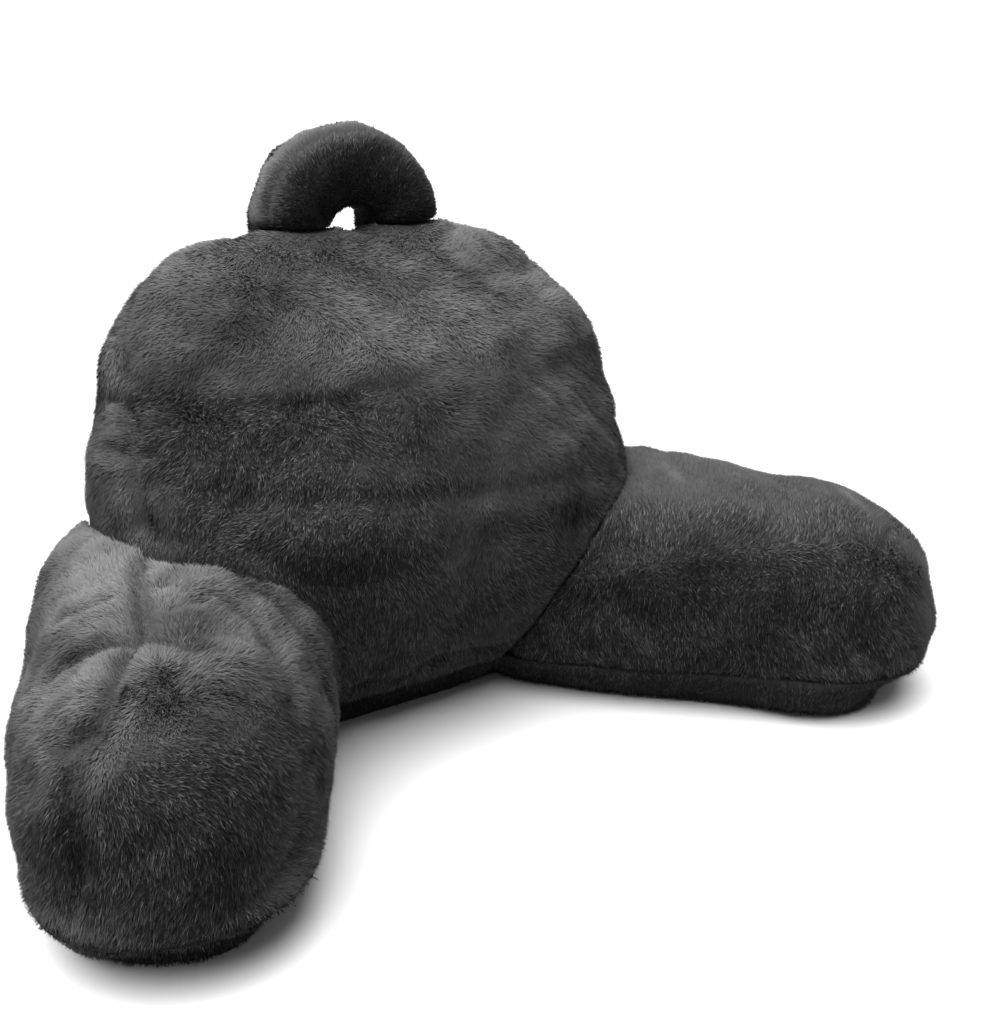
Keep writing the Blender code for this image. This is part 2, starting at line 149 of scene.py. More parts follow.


# Sewn seams, creases and dimples that are pressed into the covers, with painted shade darkening
# the pile in them.
CREASES = {
    "back_cushion": folds(
        # the soft channel across the front panel
        ((-0.235, 0.080, 0.307), (-0.175, 0.030, 0.303), (-0.104, 0.010, 0.298),
         (-0.067, 0.010, 0.298), (-0.022, 0.014, 0.303), (0.027, 0.018, 0.305),
         0.013, 0.006, 0.06),
        # faint creases lower down
        ((-0.244, 0.037, 0.259), (-0.189, -0.018, 0.248), (-0.097, -0.045, 0.237),
         (0.005, -0.053, 0.227), (0.118, -0.035, 0.216), 0.010, 0.003, 0.04),
        ((-0.199, -0.032, 0.205), (-0.159, -0.048, 0.183), (-0.116, -0.054, 0.178),
         (-0.063, -0.059, 0.185), (-0.002, -0.060, 0.191), (0.065, -0.052, 0.180),
         (0.126, -0.038, 0.173), 0.012, 0.0025, 0.02),
        ((-0.030, -0.050, 0.105), (0.030, -0.045, 0.128), (0.075, -0.035, 0.120),
         0.010, 0.003, 0.02),
        # the seam along the base
        ((-0.113, -0.004, 0.062), (-0.063, -0.006, 0.061), (-0.019, -0.014, 0.072),
         (0.040, 0.001, 0.056), 0.006, 0.005, 0.35),
        # the front panel's side seams
        ((-0.207, 0.153, 0.366), (-0.229, 0.116, 0.336), (-0.242, 0.090, 0.305),
         0.006, 0.005, 0.12),
        ((-0.242, 0.090, 0.305), (-0.241, 0.076, 0.294), (-0.251, 0.053, 0.255),
         (-0.255, 0.034, 0.225), 0.006, 0.009, 0.40),
        ((0.158, 0.146, 0.362), (0.188, 0.082, 0.307), (0.192, 0.044, 0.258),
         (0.188, 0.024, 0.225), 0.006, 0.006, 0.25),
        # puckers beside the left seam
        ((-0.249, 0.109, 0.306), (-0.241, 0.091, 0.306), (-0.233, 0.072, 0.305),
         0.006, 0.006, 0.10),
        ((-0.258, 0.085, 0.271), (-0.249, 0.064, 0.270), (-0.240, 0.044, 0.276),
         0.006, 0.008, 0.34),
        ((-0.227, 0.146, 0.346), (-0.224, 0.127, 0.344), 0.006, 0.005, 0.14),
    ),
    "left_arm": folds(
        # the crease across the arm
        ((-0.356, -0.050, 0.169), (-0.346, -0.050, 0.174), (-0.325, -0.069, 0.186),
         (-0.296, -0.090, 0.189), (-0.273, -0.114, 0.191), 0.006, 0.0065, 0.42),
        ((-0.273, -0.114, 0.191), (-0.252, -0.129, 0.186), 0.007, 0.004, 0.15),
        # the crease along it
        ((-0.266, 0.011, 0.207), (-0.278, -0.024, 0.201), (-0.291, -0.071, 0.193),
         (-0.301, -0.087, 0.189), 0.006, 0.008, 0.36),
        # small folds of its top
        ((-0.239, -0.010, 0.209), (-0.263, -0.031, 0.202), 0.006, 0.005, 0.20),
        ((-0.249, -0.063, 0.200), (-0.269, -0.065, 0.198), 0.006, 0.005, 0.20),
        ((-0.330, 0.000, 0.178), (-0.300, -0.020, 0.196), 0.006, 0.005, 0.15),
        # the pucker that runs on to the outer side
        ((-0.301, -0.087, 0.189), (-0.318, -0.101, 0.189), (-0.336, -0.131, 0.183),
         (-0.354, -0.146, 0.173), 0.006, 0.009, 0.40),
        ((-0.354, -0.146, 0.173), (-0.371, -0.145, 0.166), 0.009, 0.012, 0.55),
        ((-0.371, -0.145, 0.166), (-0.369, -0.129, 0.174), 0.005, 0.006, 0.30),
        ((-0.371, -0.145, 0.166), (-0.379, -0.130, 0.167), 0.005, 0.006, 0.30),
        ((-0.371, -0.155, 0.160), (-0.383, -0.178, 0.136), (-0.388, -0.185, 0.095),
         (-0.395, -0.180, 0.071), 0.006, 0.007, 0.32),
        # the folds that curve round beside the front panel
        ((-0.212, -0.035, 0.202), (-0.198, -0.050, 0.191), (-0.179, -0.082, 0.157),
         (-0.173, -0.098, 0.125), (-0.172, -0.104, 0.090), 0.006, 0.0065, 0.34),
        ((-0.238, -0.053, 0.201), (-0.222, -0.083, 0.189), (-0.213, -0.118, 0.171),
         (-0.215, -0.145, 0.156), 0.006, 0.005, 0.22),
        ((-0.272, -0.153, 0.184), (-0.247, -0.159, 0.175), (-0.234, -0.175, 0.154),
         (-0.231, -0.188, 0.135), 0.006, 0.004, 0.06),
    ),
    "right_arm": folds(
        # the end seam
        ((0.355, -0.158, 0.161), (0.312, -0.185, 0.158), (0.279, -0.202, 0.130),
         (0.268, -0.205, 0.099), (0.267, -0.207, 0.075), 0.006, 0.0045, 0.12),
        # the valley in the top
        ((0.218, -0.035, 0.187), (0.217, -0.070, 0.180), (0.207, -0.101, 0.164),
         0.014, 0.0015, 0.04),
    ),
}

# Fuller places, pushed out by the filling.
BULGES = {
    "back_cushion": table(
        "x       y       z      radius height",
        (-0.070, 0.048, 0.330, 0.045, 0.006),
        (0.030, 0.048, 0.330, 0.050, 0.006),
        (-0.175, 0.165, 0.385, 0.060, 0.007),
        (0.168, 0.058, 0.315, 0.045, 0.013),
        (-0.268, 0.100, 0.235, 0.045, 0.009),
        (-0.262, 0.108, 0.258, 0.022, 0.005),
        (-0.243, 0.126, 0.328, 0.024, 0.006),
        (-0.251, 0.108, 0.300, 0.016, -0.004),
        (-0.090, 0.010, 0.275, 0.030, 0.002),
        (-0.110, -0.050, 0.215, 0.045, 0.004),
        (0.050, -0.055, 0.205, 0.050, 0.004),
    ),
    "left_arm": table(
        "x       y       z      radius height",
        (-0.250, -0.030, 0.203, 0.035, 0.004),
        (-0.330, -0.040, 0.185, 0.030, 0.004),
        (-0.290, -0.200, 0.120, 0.060, 0.004),
        (-0.300, 0.110, 0.186, 0.040, 0.008),
        (-0.375, -0.050, 0.150, 0.035, 0.005),
        (-0.248, -0.208, 0.070, 0.050, -0.016),
        (-0.398, -0.172, 0.065, 0.045, -0.009),
        (-0.250, -0.140, 0.188, 0.030, 0.003),
    ),
    "right_arm": table(
        "x       y       z      radius height",
        (0.165, -0.010, 0.195, 0.045, 0.002),
        (0.375, -0.135, 0.145, 0.040, -0.005),
        (0.235, 0.000, 0.195, 0.070, 0.007),
        (0.330, -0.090, 0.185, 0.050, 0.005),
        (0.270, -0.100, 0.180, 0.045, 0.003),
        (0.190, -0.120, 0.110, 0.050, 0.004),
    ),
    "carry_handle": table(
        "x       y       z      radius height",
        (-0.100, 0.163, 0.420, 0.045, 0.003),
        (0.053, 0.134, 0.422, 0.040, 0.007),
    ),
    "base_panel": table(
        "x       y       z      radius height",
        (0.305, -0.212, 0.020, 0.035, -0.010),
        (-0.115, -0.012, 0.025, 0.060, -0.012),
        (-0.040, -0.015, 0.025, 0.050, -0.009),
        (0.030, -0.012, 0.025, 0.050, -0.006),
        (-0.250, -0.215, 0.025, 0.060, -0.016),
        (-0.380, -0.200, 0.025, 0.050, -0.006),
    ),
}

# Places where the pile stands straight out, so that the eye looks into it, with painted shade
# darkening it there.
WHORLS = {
    "back_cushion": table(
        "x       y       z      radius shade",
        (-0.159, 0.082, 0.352, 0.032, 0.44),
        (-0.207, 0.062, 0.326, 0.034, 0.22),
        (-0.136, 0.099, 0.375, 0.018, 0.10),
        (-0.111, 0.086, 0.366, 0.018, 0.22),
        (0.062, 0.088, 0.367, 0.026, 0.18),
        (0.004, -0.039, 0.117, 0.030, 0.06),
    ),
    "left_arm": table(
        "x       y       z      radius shade",
        (-0.300, -0.153, 0.182, 0.032, 0.22),
        (-0.271, -0.092, 0.193, 0.026, 0.66),
    ),
    "right_arm": table(
        "x       y       z      radius shade",
        (0.138, -0.082, 0.138, 0.034, 0.24),
        (0.172, -0.100, 0.152, 0.036, 0.30),
        (0.207, -0.150, 0.125, 0.030, 0.08),
        (0.159, -0.111, 0.106, 0.030, 0.10),
    ),
}


class CoverSettings(bpy.types.PropertyGroup):
    """The sewn cloth under the pile."""

    pile_height: FloatProperty(
        name="Pile height",
        description="How far the cloth lies under the tips of the pile",
        default=0.0032, min=0.001, max=0.02, unit="LENGTH",
    )
    mesh_step: FloatProperty(
        name="Mesh step",
        description="Width of the cover's faces",
        default=0.005, min=0.003, max=0.02, unit="LENGTH",
    )
    rounding: IntProperty(
        name="Rounding",
        description="How often the cover's faces are evened out",
        default=14, min=0, max=100,
    )
    pressure: FloatProperty(
        name="Filling pressure",
        description="How hard the filling presses the cloth out",
        default=4.0, min=0.0, max=20.0,
    )
    most_puff: FloatProperty(
        name="Most puff",
        description="The furthest that the filling may move the cloth",
        default=0.005, min=0.0, max=0.03, unit="LENGTH",
    )
    fill: FloatProperty(
        name="Fill",
        description="How tight the cushion is filled",
        default=0.85, min=0.0, max=1.0, subtype="FACTOR",
    )


class PileSettings(bpy.types.PropertyGroup):
    """The plush pile."""

    length: FloatProperty(
        name="Strand length",
        description="From root to tip",
        default=0.0070, min=0.002, max=0.04, unit="LENGTH",
    )
    width: FloatProperty(
        name="Strand width",
        description="Width of a strand at its root",
        default=0.00080, min=0.0002, max=0.004, unit="LENGTH",
    )
    tuft: FloatProperty(
        name="Tuft width",
        description="Spread of the roots in one tuft",
        default=0.0019, min=0.0, max=0.01, unit="LENGTH",
    )
    gather: FloatProperty(
        name="Gather",
        description="How far the strands of a tuft run together at their tips",
        default=0.30, min=0.0, max=1.0, subtype="FACTOR",
    )
    lean: FloatProperty(
        name="Lean",
        description="Angle between the combed pile and the cloth",
        default=radians(20), min=0.1, max=pi / 2, subtype="ANGLE",
    )
    per_tuft: IntProperty(
        name="Strands in a tuft",
        description="How many strands stand together",
        default=4, min=1, max=30,
    )
    root_colour: FloatVectorProperty(
        name="Root colour",
        description="Colour deep in the pile",
        default=(0.0170, 0.0169, 0.0168), min=0.0, max=1.0, size=3, subtype="COLOR",
    )
    tip_colour: FloatVectorProperty(
        name="Tip colour",
        description="Colour of the tips",
        default=(0.0378, 0.0377, 0.0376), min=0.0, max=1.0, size=3, subtype="COLOR",
    )
    sheen: FloatProperty(
        name="Sheen",
        description="Soft shine of the pile seen at a low angle",
        default=0.02, min=0.0, max=1.0, subtype="FACTOR",
    )


class StageSettings(bpy.types.PropertyGroup):
    """Floor, light and camera."""

    floor_colour: FloatVectorProperty(
        name="Floor colour",
        description="Colour of the pale floor",
        default=(0.30, 0.30, 0.30), min=0.0, max=1.0, size=3, subtype="COLOR",
    )
    sky: FloatProperty(
        name="Sky light",
        description="Strength of the even light from all round",
        default=0.70, min=0.0, max=5.0,
    )
    overhead: FloatProperty(
        name="Overhead light",
        description="Strength of the soft light from above",
        default=18.0, min=0.0, max=40.0,
    )
    lens: FloatProperty(
        name="Lens",
        description="Focal length of the camera in millimetres",
        default=47.97, min=10.0, max=300.0,
    )


class PillowSettings(bpy.types.PropertyGroup):
    """All that a user would change."""

    cover: PointerProperty(type=CoverSettings)
    pile: PointerProperty(type=PileSettings)
    stage: PointerProperty(type=StageSettings)


def ramp(value, low, high):
    """0 up to low, 1 from high on, smooth between."""
    t = np.clip((value - low) / (high - low), 0, 1)
    return t * t * (3 - 2 * t)


def hump(value, most, middle, width):
    """most at the middle, falling off smoothly on both sides."""
    return most * np.exp(-((value - middle) / width) ** 2)


def unit(vectors):
    """The same directions, one long."""
    return vectors / (np.linalg.norm(vectors, axis=-1, keepdims=True) + NOT_ZERO)


def waves(points, size, rng):
    """Smooth noise over points, about 1 strong. size is how long its waves are."""
    headings = unit(rng.normal(size=(WAVE_COUNT, 3)))
    turns = 2 * pi / (size * rng.uniform(*WAVE_SIZES, WAVE_COUNT))
    phases = rng.uniform(0, 2 * pi, WAVE_COUNT)
    each = np.sin(points @ (headings * turns[:, None]).T + phases)
    return each.sum(axis=1) * sqrt(2 / WAVE_COUNT)


def mesh_arrays(mesh):
    """A mesh's points, triangles and point normals as arrays."""
    mesh.calc_loop_triangles()
    points = np.empty(len(mesh.vertices) * 3, dtype=np.float32)
    mesh.vertices.foreach_get("co", points)
    normals = np.empty(len(mesh.vertices) * 3, dtype=np.float32)
    mesh.vertex_normals.foreach_get("vector", normals)
    corners = np.empty(len(mesh.loop_triangles) * 3, dtype=np.int32)
    mesh.loop_triangles.foreach_get("vertices", corners)
    return (
        points.reshape(-1, 3).astype(float),
        corners.reshape(-1, 3),
        normals.reshape(-1, 3).astype(float),
    )


def nearness(points, node):
    """Distance from each point to the nearest of the other solids."""
    corners, faces = [], []
    for name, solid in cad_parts.items():
        if name != node:
            places, triangles, _ = mesh_arrays(solid.data)
            faces.append(triangles + sum(len(c) for c in corners))
            corners.append(places)
    tree = BVHTree.FromPolygons(np.concatenate(corners).tolist(), np.concatenate(faces).tolist())
    return np.array([tree.find_nearest(p)[3] for p in points.tolist()])


def from_lines(points, normals, rows):
    """Distance along the cover of each point from each line of a table, a column for each.
    A line that lies off the cover by up to LINE_REACH counts as nearly on it."""
    away = np.empty((len(points), len(rows["x0"])))
    for i in range(len(rows["x0"])):
        start = np.array([rows[axis][i] for axis in ("x0", "y0", "z0")])
        run = np.array([rows[axis][i] for axis in ("x1", "y1", "z1")]) - start
        share = np.clip((points - start) @ run / max(run @ run, NOT_ZERO), 0, 1)
        off = points - start - share[:, None] * run
        deep = np.clip((off * normals).sum(axis=1), -LINE_REACH, LINE_REACH)
        away[:, i] = np.sqrt((off * off).sum(axis=1) - OFF_SHARE * deep ** 2)
    return away


ARC_FROM, ARC_TO = -0.1 * pi, 1.1 * pi      # a handle's seam from its right foot to its left
ARC_PARTS = 14


def arc_lines(centre, radius, y, width, depth, shade):
    """Rows for a crease along an arch over a centre, in the plane of that y."""
    parts = ARC_PARTS
    turn = np.linspace(ARC_FROM, ARC_TO, parts + 1)
    x, z = centre[0] + radius * np.cos(turn), centre[2] + radius * np.sin(turn)
    level = np.full(parts, float(y))
    return {
        "x0": x[:-1], "y0": level, "z0": z[:-1], "x1": x[1:], "y1": level, "z1": z[1:],
        "width": np.full(parts, width), "depth": np.full(parts, depth),
        "shade": np.full(parts, shade),
    }


def applied(piece):
    """Take a piece's modifiers into its mesh."""
    graph = bpy.context.evaluated_depsgraph_get()
    result = bpy.data.meshes.new_from_object(piece.evaluated_get(graph))
    piece.modifiers.clear()
    piece.data = result


def new_piece(name, mesh):
    """An object with this mesh in the scene."""
    piece = bpy.data.objects.new(name, mesh)
    bpy.context.scene.collection.objects.link(piece)
    return piece


def puffed(piece, held, cover):
    """Let the filling blow the cover up, and cap how far each point moves."""
    group = piece.vertex_groups.new(name="held")
    for index, weight in enumerate(held.tolist()):
        if weight > HELD_LEAST:
            group.add([index], weight, "REPLACE")
    cloth = piece.modifiers.new("filling", "CLOTH")
    cloth.settings.quality = SIM_QUALITY
    cloth.settings.mass = CLOTH_MASS
    cloth.settings.use_pressure = True
    cloth.settings.uniform_pressure_force = cover.pressure
    cloth.settings.effector_weights.gravity = 0
    cloth.settings.vertex_group_mass = group.name
    cloth.collision_settings.use_collision = False
    cloth.point_cache.frame_end = SIM_FRAMES
    before = mesh_arrays(piece.data)[0]
    for step in range(1, SIM_FRAMES + 1):
        bpy.context.scene.frame_set(step)
    applied(piece)
    bpy.context.scene.frame_set(1)
    piece.vertex_groups.clear()
    moved = mesh_arrays(piece.data)[0] - before
    far = np.linalg.norm(moved, axis=1, keepdims=True)
    moved *= np.minimum(1, cover.most_puff / np.maximum(far, NOT_ZERO))
    return before + moved * (1 - held[:, None])


def set_points(mesh, points):
    """Move all of a mesh's points."""
    mesh.vertices.foreach_set("co", points.astype(np.float32).ravel())
    mesh.update()


def make_cover(node, name, cover):
    """The sewn cloth under the pile: the node's form, drawn in, blown up and creased."""
    piece = new_piece(name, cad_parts[node].data.copy())
    remesh = piece.modifiers.new("even faces", "REMESH")
    remesh.mode = "VOXEL"
    remesh.voxel_size = cover.mesh_step
    if node != "base_panel":
        round_off = piece.modifiers.new("round off", "SMOOTH")
        round_off.factor = EVEN_OUT
        round_off.iterations = cover.rounding
    applied(piece)
    points, _, normals = mesh_arrays(piece.data)
    free = ramp(nearness(points, node), *CONTACT)
    if node == "base_panel":
        free *= ramp(points[:, 2], *ON_FLOOR)
    drawn = cover.pile_height + ((PUFF_SHARE * cover.most_puff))
    if node == "carry_handle":
        # the pile fills the hole from its rim
        out = points - HOLE
        rim = 1 - ramp(np.hypot(out[:, 0], out[:, 2]), *HOLE_RIM)
        drawn = drawn * (1 - HOLE_KEEP * rim) - HOLE_FILL * rim * ramp(out[:, 2], 0.0, HOLE_TOP)
    points -= normals * (drawn * free)[:, None]
    set_points(piece.data, points)
    set_points(piece.data, puffed(piece, 1 - free, cover))
    rng = np.random.default_rng(len(name))
    points, _, normals = mesh_arrays(piece.data)
    out = sum(height * waves(points, size, rng) for height, size in SWELLS)
    if node in BULGES:
        rows = BULGES[node]
        for i in range(len(rows["x"])):
            away = np.linalg.norm(points - place(rows, i), axis=1) / rows["radius"][i]
            out += rows["height"][i] * np.exp(-away ** 2)
    if node in CREASES:
        rows = CREASES[node]
        trough = rows["depth"] * np.exp(-(from_lines(points, normals, rows) / rows["width"]) ** 2)
        out -= trough.max(axis=1)
    set_points(piece.data, points + normals * (out * free)[:, None])
    piece.data.shade_smooth()
    return piece


def scatter(points, triangles, weight, count, rng):
    """Places spread over a mesh by area and weight: the triangle of each, and its shares."""
    a, b, c = (points[triangles[:, i]] for i in range(3))
    area = np.linalg.norm(np.cross(b - a, c - a), axis=1) * weight[triangles].mean(axis=1)
    total = np.cumsum(area)
    at = (np.arange(count) + rng.random(count)) / count * total[-1]
    chosen = triangles[np.minimum(np.searchsorted(total, at), len(triangles) - 1)]
    u, v = rng.random(count), rng.random(count)
    over = u + v > 1
    u[over], v[over] = 1 - u[over], 1 - v[over]
    return chosen, np.stack([1 - u - v, u, v], axis=1)


def read(values, chosen, shares):
    """A point value, or vector, at scattered places."""
    if values.ndim == 1:
        return (values[chosen] * shares).sum(axis=1)
    return (values[chosen] * shares[:, :, None]).sum(axis=1)


def strand_mesh(name, roots, tips, aside, normals, along):
    """One mesh of tapered strands: each a triangle with two points at its root."""
    count = len(roots)
    points = np.stack([roots - aside, roots + aside, tips], axis=1).reshape(-1, 3)
    mesh = bpy.data.meshes.new(name)
    mesh.vertices.add(count * 3)
    mesh.loops.add(count * 3)
    mesh.polygons.add(count)
    mesh.vertices.foreach_set("co", points.astype(np.float32).ravel())
    mesh.loops.foreach_set("vertex_index", np.arange(count * 3, dtype=np.int32))
    mesh.polygons.foreach_set("loop_start", np.arange(0, count * 3, 3, dtype=np.int32))
    layer = mesh.uv_layers.new(name="OFBake")
    layer.data.foreach_set("uv", along.astype(np.float32).ravel())
    mesh.update(calc_edges=True)
    mesh.shade_smooth()
    mesh.normals_split_custom_set_from_vertices(normals.astype(np.float32).reshape(-1, 3))
    return mesh


ROOT_U, STRAND_U = 0.002, 0.25      # where a strand's root and tip lie in the map
STRAND_V = 0.006               # half of its width there
V_RANGE = (0.02, 0.98)
MOST_LIGHT = 2.0               # how much lighter than the pile's colour a strand can be


def make_pile(node, name, cover_piece, flow, shade, pile, part=None, length=1.0):
    """Tufts of strands on a cover. flow gives the combed direction, and shade the painted light
    and shade that make the pile lighter or darker.
    part is the share of strands that a place gets, length a share of the pile's length."""
    rng = np.random.default_rng(SEEDS[name])
    points, triangles, normals = mesh_arrays(cover_piece.data)
    near = nearness(points, node)
    weight = ramp(near, *ROOTED)
    if part is not None:
        weight = weight * part(points, normals)
    if node == "base_panel":
        weight = weight * ramp(points[:, 2], *BASE_ROOTED)

    # Along the cover, with slow swirls.
    comb = flow(points, normals)
    comb = unit(comb - normals * (comb * normals).sum(axis=1, keepdims=True))
    turn = sum(most * waves(points, size, rng) for most, size in SWIRLS)
    side = np.cross(normals, comb)
    comb = comb * np.cos(turn)[:, None] + side * np.sin(turn)[:, None]
    upright = np.zeros(len(points))
    painted_shade = np.zeros(len(points))
    in_crease = np.zeros(len(points))
    # whorls turn and raise the pile, and paint shade on it
    if node in WHORLS:
        rows = WHORLS[node]
        for i in range(len(rows["x"])):
            out = points - place(rows, i)
            reach = np.exp(-(np.linalg.norm(out, axis=1) / rows["radius"][i]) ** 2)
            comb = comb + unit(out) * (WHORL_PULL * reach)[:, None]
            upright = np.maximum(upright, reach)
            painted_shade = np.maximum(painted_shade, rows["shade"][i] * reach)
    # painted shade in the folds and seams; a deep fold's shade also shortens the pile there
    if node in CREASES:
        rows = CREASES[node]
        close = np.exp(-(from_lines(points, normals, rows) / rows["width"]) ** 2)
        in_crease = (rows["shade"] * close).max(axis=1)
        painted_shade = np.maximum(painted_shade, in_crease)
    comb = unit(comb - normals * (comb * normals).sum(axis=1, keepdims=True))
    # the tone: lighter random patches, less the painted shade of the whorls and folds
    tone = sum(most * waves(points, size, rng) for most, size in PATCHES) - painted_shade
    # painted light where the cover faces up, painted shade where it faces down
    tone = tone + PAINTED_TOP_LIGHT * np.maximum(normals[:, 2], LEAST_UPWARD) + GROUND_TONE
    tone = tone + shade(points, normals)
    change, size = UNEVEN_LENGTH
    tall = length * (1 + change * waves(points, size, rng))
    tall = tall * (SHORTEST + (1 - SHORTEST) * ramp(near, 0.0, FULL_AT))
    tall = tall * (1 - FOLD_CUT * ramp(in_crease, *FOLD_SHADES))

    # In the places darkened by painted shade the pile stands up more, so that the eye looks into
    # it.
    deep = ramp(-tone, *DEEP_TONES)
    tufts = STRANDS[name] // pile.per_tuft
    chosen, shares = scatter(points, triangles, weight, tufts, rng)
    centre = read(points, chosen, shares)
    normal = unit(read(normals, chosen, shares))
    heading = unit(read(comb, chosen, shares))
    across = np.cross(normal, heading)
    angle = pile.lean + WHORL_RAISE * read(upright, chosen, shares)
    angle = angle + DEEP_RAISE * read(deep, chosen, shares)
    angle = angle + TUFT_RAISE * rng.normal(size=tufts)
    bend = TUFT_BEND * rng.normal(size=tufts)
    heading = heading * np.cos(bend)[:, None] + across * np.sin(bend)[:, None]
    across = np.cross(normal, heading)
    tuft_tone = read(tone, chosen, shares) + TUFT_TONE * rng.normal(size=tufts)
    tuft_length = pile.length * read(tall, chosen, shares) * rng.uniform(*TUFT_LENGTHS, tufts)

    def each(values):
        """A value of each tuft, for each of its strands."""
        return np.repeat(values, pile.per_tuft, axis=0)

    strands = tufts * pile.per_tuft
    normal, heading, across, centre = each(normal), each(heading), each(across), each(centre)
    spread = rng.normal(size=(strands, 2)) * pile.tuft
    offset = heading * spread[:, :1] + across * spread[:, 1:]
    reach = each(tuft_length) * rng.uniform(*STRAND_LENGTHS, strands)
    angle = each(angle) + TUFT_RAISE * rng.normal(size=strands)
    run = heading * np.cos(angle)[:, None] + normal * np.sin(angle)[:, None]
    run = unit(run + STRAY * rng.normal(size=(strands, 3)))
    roots = centre + offset - normal * ROOT_DEPTH
    tips = centre + offset * (1 - pile.gather) + run * reach[:, None]
    tips[:, 2] = np.maximum(tips[:, 2], FLOOR_CLEARANCE)
    roots[:, 2] = np.maximum(roots[:, 2], FLOOR_CLEARANCE)
    direction = unit(tips - roots)
    roll = rng.normal(size=(strands, 1)) * STRAND_ROLL
    aside = unit(np.cross(direction, normal) + normal * roll)
    aside = aside * (pile.width / 2 * rng.uniform(*STRAND_WIDTHS, strands))[:, None]
    face = unit(np.cross(aside, direction))
    of_cloth, of_strand, by_chance = NORMAL_MIX
    soft = of_cloth * normal + of_strand * face + by_chance * rng.normal(size=(strands, 3))
    soft = np.repeat(unit(soft), 3, axis=0)

    # The map holds the way along a strand in U.
    # It holds how light the strand is in V, its painted light and shade included.
    uneven = STRAND_TONE[0] + STRAND_TONE[1] * each(read(deep, chosen, shares))
    value = np.exp(TONE_GAIN * each(tuft_tone) + uneven * rng.normal(size=strands)) / MOST_LIGHT
    value = np.clip(value, *V_RANGE)
    along = np.empty((strands, 3, 2))
    along[:, :2, 0] = ROOT_U
    along[:, 2, 0] = STRAND_U
    along[:, 0, 1] = value - STRAND_V
    along[:, 1, 1] = value + STRAND_V
    along[:, 2, 1] = value
    return new_piece(name, strand_mesh(name, roots, tips, aside, soft, along))


# Finish of the pile and of the cloth under it.
PILE_ROUGHNESS, PILE_SPECULAR, SHEEN_ROUGHNESS = 0.62, 0.03, 0.45
CLOTH_ROUGHNESS, CLOTH_SPECULAR = 0.9, 0.05
GRAIN_SCALE, GRAIN_DETAIL = 420.0, 2.0
GRAIN_DARKEST = 0.7            # the grain's darkest tone, over the root colour
GRAIN_BUMP, GRAIN_HEIGHT = 0.5, 0.002


def shader_of(material):
    """A material's node tree and its surface node."""
    material.use_nodes = True
    return material.node_tree, material.node_tree.nodes["Principled BSDF"]


def add_node(tree, kind, **values):
    """A new shader node with these settings."""
    node = tree.nodes.new(kind)
    for name, value in values.items():
        setattr(node, name, value)
    return node


def pile_material(name, pile, brightness=1.0):
    """Strands, dark at the root and lighter at the tip, each with its own tone, which carries the
    painted light and shade.
    """
    material = bpy.data.materials.new(name)
    tree, shader = shader_of(material)
    link = tree.links.new
    places = add_node(tree, "ShaderNodeUVMap", uv_map="OFBake")
    split = add_node(tree, "ShaderNodeSeparateXYZ")
    link(places.outputs["UV"], split.inputs[0])
    along = add_node(tree, "ShaderNodeMapRange", interpolation_type="SMOOTHSTEP")
    along.inputs["From Max"].default_value = STRAND_U
    link(split.outputs["X"], along.inputs["Value"])
    colour = add_node(tree, "ShaderNodeMix", data_type="RGBA")
    colour.inputs["A"].default_value = (*[c * brightness for c in pile.root_colour], 1)
    colour.inputs["B"].default_value = (*[c * brightness for c in pile.tip_colour], 1)
    link(along.outputs["Result"], colour.inputs["Factor"])
    tone = add_node(tree, "ShaderNodeMapRange")
    tone.inputs["To Min"].default_value = 0.0
    tone.inputs["To Max"].default_value = MOST_LIGHT
    link(split.outputs["Y"], tone.inputs["Value"])
    shaded = add_node(tree, "ShaderNodeVectorMath", operation="SCALE")
    link(colour.outputs["Result"], shaded.inputs[0])
    link(tone.outputs["Result"], shaded.inputs["Scale"])
    link(shaded.outputs["Vector"], shader.inputs["Base Color"])
    shader.inputs["Roughness"].default_value = PILE_ROUGHNESS
    shader.inputs["Specular IOR Level"].default_value = PILE_SPECULAR
    shader.inputs["Sheen Weight"].default_value = pile.sheen
    shader.inputs["Sheen Roughness"].default_value = SHEEN_ROUGHNESS
    return material


def cover_material(name, pile, brightness=1.0):
    """The cloth and the roots of the pile, seen between the strands."""
    material = bpy.data.materials.new(name)
    tree, shader = shader_of(material)
    link = tree.links.new
    places = add_node(tree, "ShaderNodeTexCoord")
    grain = add_node(tree, "ShaderNodeTexNoise")
    grain.inputs["Scale"].default_value = GRAIN_SCALE
    grain.inputs["Detail"].default_value = GRAIN_DETAIL
    link(places.outputs["Object"], grain.inputs["Vector"])
    colour = add_node(tree, "ShaderNodeMix", data_type="RGBA")
    lightest = [c * brightness for c in pile.root_colour]
    colour.inputs["A"].default_value = (*[c * GRAIN_DARKEST for c in lightest], 1)
    colour.inputs["B"].default_value = (*lightest, 1)
    link(grain.outputs["Fac"], colour.inputs["Factor"])
    link(colour.outputs["Result"], shader.inputs["Base Color"])
    bump = add_node(tree, "ShaderNodeBump")
    bump.inputs["Strength"].default_value = GRAIN_BUMP
    bump.inputs["Distance"].default_value = GRAIN_HEIGHT
    link(grain.outputs["Fac"], bump.inputs["Height"])
    link(bump.outputs["Normal"], shader.inputs["Normal"])
    shader.inputs["Roughness"].default_value = CLOTH_ROUGHNESS
    shader.inputs["Specular IOR Level"].default_value = CLOTH_SPECULAR
    return material


def dress(piece, node, material):
    """Give a piece its finish and its place in the model."""
    piece.data.materials.clear()
    piece.data.materials.append(material)
    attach(piece, "root")
    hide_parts(node)
